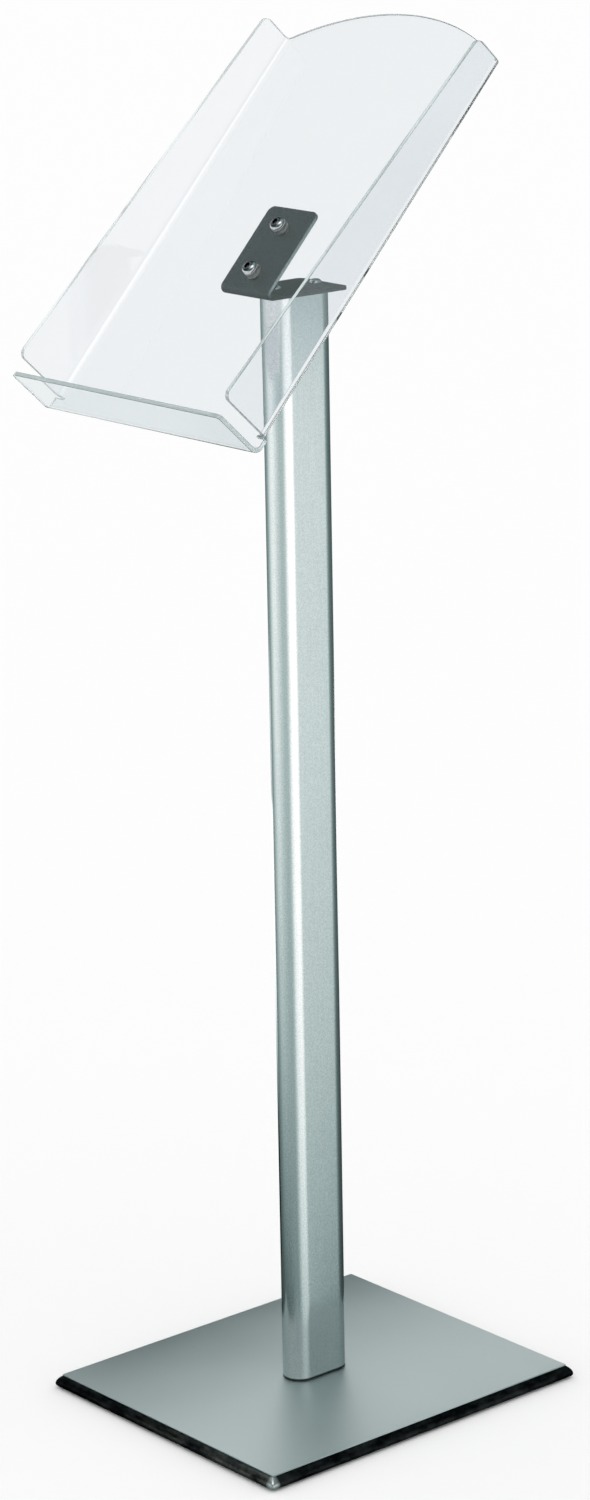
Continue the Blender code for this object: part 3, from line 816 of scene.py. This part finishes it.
def make_tray_fixings(steel, nylon):
    """Along each screw, from the reader: head, nylon washer, tray, spacer, bracket, washer, nut."""
    shank = M8_BUTTON[0]
    bore = shank + HOLE_PLAY
    for level, along in zip(("lower", "upper"), TRAY_SCREW_AT):

        def stacked(off):
            return tray_point(0, along, off), FACING_READER

        nylon_at = SHEET + GAP
        head_at = nylon_at + NYLON_THICK + GAP
        name = "clamp_screw_" + level
        screw = button_screw(name, M8_BUTTON, TRAY_SCREW_LENGTH, M8_PITCH, steel, stacked(head_at))
        finished(screw, "screw_steel", "tray_screw_" + level)
        ring = ring_washer(
            "front_washer_" + level, RING_OUTER, bore, NYLON_THICK, 0.15 * MM, nylon, stacked(nylon_at)
        )
        finished(ring, "nylon_clear", "tray_washer_" + level)
        spacer_thick = TRAY_SPACER - 2 * GAP
        spacer = ring_washer(
            "spacer_ring_" + level, RING_OUTER, bore, spacer_thick, 0.25 * MM, nylon,
            stacked(GAP - TRAY_SPACER),
        )
        finished(spacer, "nylon_clear", "tray_spacer_" + level)
        washer_at = -TRAY_SPACER - BRACKET_THICK - GAP - STEEL_WASHER_THICK
        back = ring_washer(
            "back_washer_" + level, STEEL_WASHER_OUTER, bore, STEEL_WASHER_THICK, 0.2 * MM, steel,
            stacked(washer_at),
        )
        finished(back, "screw_steel", "bracket_washer_" + level)
        nut = hexagon_nut("clamp_nut_" + level, steel, stacked(washer_at - GAP - NUT_HEIGHT))
        finished(nut, "screw_steel", "tray_nut_" + level)


# ---------------------------------------------------------------- studio


def plateau(value, centre, half_width, soft):
    """1 within half_width degrees of centre, falling smoothly to 0 over soft degrees."""
    off = abs((value - centre + 180) % 360 - 180)
    t = min(max((half_width + soft - off) / soft, 0), 1)
    return t * t * (3 - 2 * t)


def smooth(value, low, high):
    t = min(max((value - low) / (high - low), 0), 1)
    return t * t * (3 - 2 * t)


def along_table(value, table):
    """Straight-line reading of (position, level) pairs."""
    for (x0, y0), (x1, y1) in zip(table, table[1:]):
        if value <= x1:
            return y0 + (y1 - y0) * max(value - x0, 0) / (x1 - x0)
    return table[-1][1]


# A light tent and a side card, shaped for one camera angle. The camera and the floor don't see
# them. Reflections do, and light bent by the acrylic meets the tent above TENT_SPLIT only.
# Azimuths are in degrees from +X towards +Y, and levels are in the same units as WORLD_LEVEL.
WORLD_LEVEL = 1.06
BOUNCES = 64
GLOSSY_BOUNCES = 48
FLOOR_HALF = 60
FLOOR_DROP = 0.1 * MM
TENT_RADIUS = 2.4
TENT_STEPS = 360
TENT_SPLIT = 1.6
CARD_X = -0.32
CARD_Y = (-0.06, 0.80)
CARD_HIGH = 0.46
CARD_STEPS = 24

# The tent's outline as (radius, height): a flat foot just over the floor, a wall and a ceiling
TENT_PROFILE = [(0.001, 0.0005), (0.12, 0.0005), (0.24, 0.0005), (0.34, 0.0005)]
TENT_PROFILE += [(0.34 + 0.08 * i, 0.0005) for i in range(1, 25)]
TENT_PROFILE += [(2.34, 0.02), (2.38, 0.06)]
TENT_PROFILE += [(TENT_RADIUS, 0.12 + 0.06 * i) for i in range(32)]
TENT_PROFILE += [(2.36, 2.1), (2.28, 2.3), (2.14, 2.5), (1.95, 2.7), (1.7, 2.87), (1.4, 3.02)]
TENT_PROFILE += [(1.1, 3.13), (0.8, 3.21), (0.5, 3.26), (0.25, 3.28), (0.001, 3.29)]

# Low on the wall: (azimuth, level, how fast it dims inwards over the foot)
WALLS = [
    (-180, 0.28, 1.8), (-160, 0.42, 2.0), (-143, 0.78, 2.5), (-125, 1.08, 2.4), (-105, 1.08, 2.3),
    (-85, 0.84, 1.8), (-62, 0.62, 1.1), (-42, 0.60, 1.0), (-32, 0.78, 0.95), (-24, 1.10, 0.9),
    (-12, 1.35, 0.8), (8, 1.45, 0.8), (20, 1.45, 0.8), (30, 1.20, 0.9), (38, 0.90, 1.0),
    (44, 0.74, 1.0), (54, 0.40, 1.0), (68, 0.20, 1.0), (95, 0.12, 1.0), (130, 0.12, 1.0),
    (160, 0.18, 1.2), (180, 0.28, 1.8),
]
# Over the foot: (radius, share of the wall's level where the third number of WALLS is 1)
INWARDS = [
    (0.0, 0.30), (0.2, 0.38), (0.32, 0.46), (0.45, 0.54), (0.6, 0.60), (0.82, 0.69), (1.08, 0.77),
    (1.47, 0.84), (1.91, 0.90), (2.4, 0.96),
]


def tent_glow(x, y, height):
    """How bright the light tent is: soft upright panels, a dimmer foot and a few lamps."""
    azimuth, radius = math.degrees(math.atan2(y, x)), math.hypot(x, y)
    on_foot = height < 0.1
    # The low panels, dimmer inwards over the foot, with one brighter patch there
    level = along_table(azimuth, [(a, b) for a, b, _ in WALLS])
    power = along_table(azimuth, [(a, p) for a, _, p in WALLS])
    depth = along_table(radius, INWARDS) if on_foot else 0.96 + 0.04 * smooth(height, 0.1, 0.4)
    low = level * depth**power
    patch = 0.34 + 0.24 * smooth(radius, 1.0, 1.13)
    low += patch * plateau(azimuth, 171, 7, 6) * smooth(radius, 0.8, 0.95) * on_foot
    # Higher on the wall, a darker stretch with a thin lamp in it
    upper = low * (1 - 0.8 * plateau(azimuth, 42, 12, 6))
    upper += 0.7 * plateau(azimuth, 46, 4, 4) * smooth(height, 0.80, 0.92)
    middle = low + (upper - low) * smooth(height, 0.52, 0.76)
    # Above that a belt of low light, with a weak lamp at azimuth 2 and a bright one at 172
    behind = plateau(azimuth, 128, 22, 16)
    belt = 0.24 - 0.13 * plateau(azimuth, -60, 118, 12) - 0.16 * behind + 0.4 * plateau(azimuth, 2, 10, 12)
    belt += 1.6 * plateau(azimuth, 172, 12, 10) * smooth(height, 1.15, 1.3)
    start = 0.64 + 0.30 * plateau(azimuth, 44, 14, 8)
    middle += (belt - middle) * smooth(height, start, start + 0.08)
    # The ceiling, with one bright lamp, one weaker patch and one darker patch
    high = 0.34 + 0.34 * plateau(azimuth, -160, 20, 16) - 0.22 * behind
    high += 1.8 * plateau(azimuth, -55, 44, 14) * smooth(height, 2.4, 2.8) * (1 - smooth(height, 3.08, 3.2))
    return middle + (high - middle) * smooth(height, 1.6, 2.1)


def card_glow(_x, _y, height):
    """How bright the card beside the base is: dark at its foot, and bright from 32 cm up."""
    return 0.01 + 1.25 * smooth(height, 0.12, 0.32)


def make_glow(name, bm, glow, seen_through):
    """A lit surface that reflections meet and the camera, floor and shadows don't."""
    mesh = bpy.data.meshes.new(name)
    bm.to_mesh(mesh)
    bm.free()
    levels = mesh.color_attributes.new("glow", "FLOAT_COLOR", "POINT")
    for vert, entry in zip(mesh.vertices, levels.data):
        level = glow(*vert.co)
        red = min(1.0, 0.66 + 0.27 * level)
        entry.color = (level * red, level, level * 0.985, 1)
    material = bpy.data.materials.new(name)
    material.use_nodes = True
    tree = material.node_tree
    tree.nodes.clear()
    colour = tree.nodes.new("ShaderNodeAttribute")
    colour.attribute_name = "glow"
    emission = tree.nodes.new("ShaderNodeEmission")
    output = tree.nodes.new("ShaderNodeOutputMaterial")
    tree.links.new(colour.outputs["Color"], emission.inputs["Color"])
    tree.links.new(emission.outputs[0], output.inputs[0])
    material.cycles.emission_sampling = "NONE"
    mesh.materials.append(material)
    surface = bpy.data.objects.new(name, mesh)
    bpy.context.scene.collection.objects.link(surface)
    surface.visible_camera = False
    surface.visible_diffuse = False
    surface.visible_transmission = seen_through
    surface.visible_volume_scatter = False
    surface.visible_shadow = False


def make_tent():
    """The surround and the side card. Light bent by the acrylic meets only the tent's upper part."""
    split = next(i for i, (_, height) in enumerate(TENT_PROFILE) if height > TENT_SPLIT)
    parts = (("tent_low", TENT_PROFILE[: split + 1], False), ("tent_top", TENT_PROFILE[split:], True))
    for name, profile, seen_through in parts:
        bm = bmesh.new()
        rings = []
        for radius, height in profile:
            rings.append(ring_of(bm, arc((0, 0), radius, 0, 2 * math.pi, TENT_STEPS)[:-1], height))
        for lower, upper in zip(rings, rings[1:]):
            bridge(bm, lower, upper)
        make_glow(name, bm, tent_glow, seen_through)
    bm = bmesh.new()
    rows = []
    for i in range(CARD_STEPS + 1):
        height = MM + CARD_HIGH * i / CARD_STEPS
        rows.append([bm.verts.new((CARD_X, y, height)) for y in CARD_Y])
    for (a, b), (c, d) in zip(rows, rows[1:]):
        bm.faces.new((a, b, d, c))
    make_glow("side_card", bm, card_glow, False)


def make_studio():
    world = bpy.data.worlds.new("studio")
    world.use_nodes = True
    world.node_tree.nodes["Background"].inputs["Color"].default_value = (1, 1, 1, 1)
    world.node_tree.nodes["Background"].inputs["Strength"].default_value = WORLD_LEVEL
    bpy.context.scene.world = world
    paper = bpy.data.materials.new("floor_paper")
    paper.use_nodes = True
    shader = paper.node_tree.nodes["Principled BSDF"]
    shader.inputs["Base Color"].default_value = (0.93, 0.93, 0.93, 1)
    shader.inputs["Roughness"].default_value = 1.0
    shader.inputs["Specular IOR Level"].default_value = 0.0
    bm = bmesh.new()
    bmesh.ops.create_grid(bm, x_segments=8, y_segments=8, size=FLOOR_HALF)
    mesh = bpy.data.meshes.new("floor")
    bm.to_mesh(mesh)
    bm.free()
    mesh.materials.append(paper)
    floor = bpy.data.objects.new("floor", mesh)
    floor.location.z = -FLOOR_DROP
    bpy.context.scene.collection.objects.link(floor)
    make_tent()
    bpy.context.scene.view_settings.view_transform = "Standard"
    cycles = bpy.context.scene.cycles
    cycles.max_bounces = BOUNCES
    cycles.transmission_bounces = BOUNCES
    cycles.glossy_bounces = GLOSSY_BOUNCES


CAMERA_PLACE = (2.7986, -2.3876, 1.6140)
CAMERA_TURN = (49.64, 15.44, -1.07)  # degrees to the left of +Y, down, and about its own axis
CAMERA_LENS = 104.71
CAMERA_SENSOR = 36


def make_camera():
    """Eye height of a standing viewer to the reader's right, looking down at the stand."""
    yaw, pitch, roll = (math.radians(a) for a in CAMERA_TURN)
    forward = Vector((-math.sin(yaw) * math.cos(pitch), math.cos(yaw) * math.cos(pitch), -math.sin(pitch)))
    right = forward.cross(Vector((0, 0, 1))).normalized()
    up = right.cross(forward)
    across = right * math.cos(roll) + up * math.sin(roll)
    upward = up * math.cos(roll) - right * math.sin(roll)
    camera = bpy.data.cameras.new("camera")
    camera.lens = CAMERA_LENS
    camera.sensor_width = CAMERA_SENSOR
    camera.clip_start, camera.clip_end = 0.1, 200
    eye = bpy.data.objects.new("camera", camera)
    turn = Matrix((across, upward, -forward)).transposed()
    eye.matrix_world = Matrix.Translation(CAMERA_PLACE) @ turn.to_4x4()
    bpy.context.scene.collection.objects.link(eye)
    bpy.context.scene.camera = eye


def main():
    make_camera()
    make_studio()
    steel = screw_look()
    nylon = nylon_look()
    make_base(black_look(), silver_look(), steel)
    make_post(aluminium_look())
    make_bracket(bracket_look(), steel)
    make_tray(acrylic_look())
    make_tray_fixings(steel, nylon)
    kept = {"floor_mat": rubber_look(), "post_foot_insert": insert_look()}
    kept["post_head_insert"] = kept["post_foot_insert"]
    for node, material in kept.items():
        for slot in frame["nodes"][node].material_slots:
            slot.material = material


main()
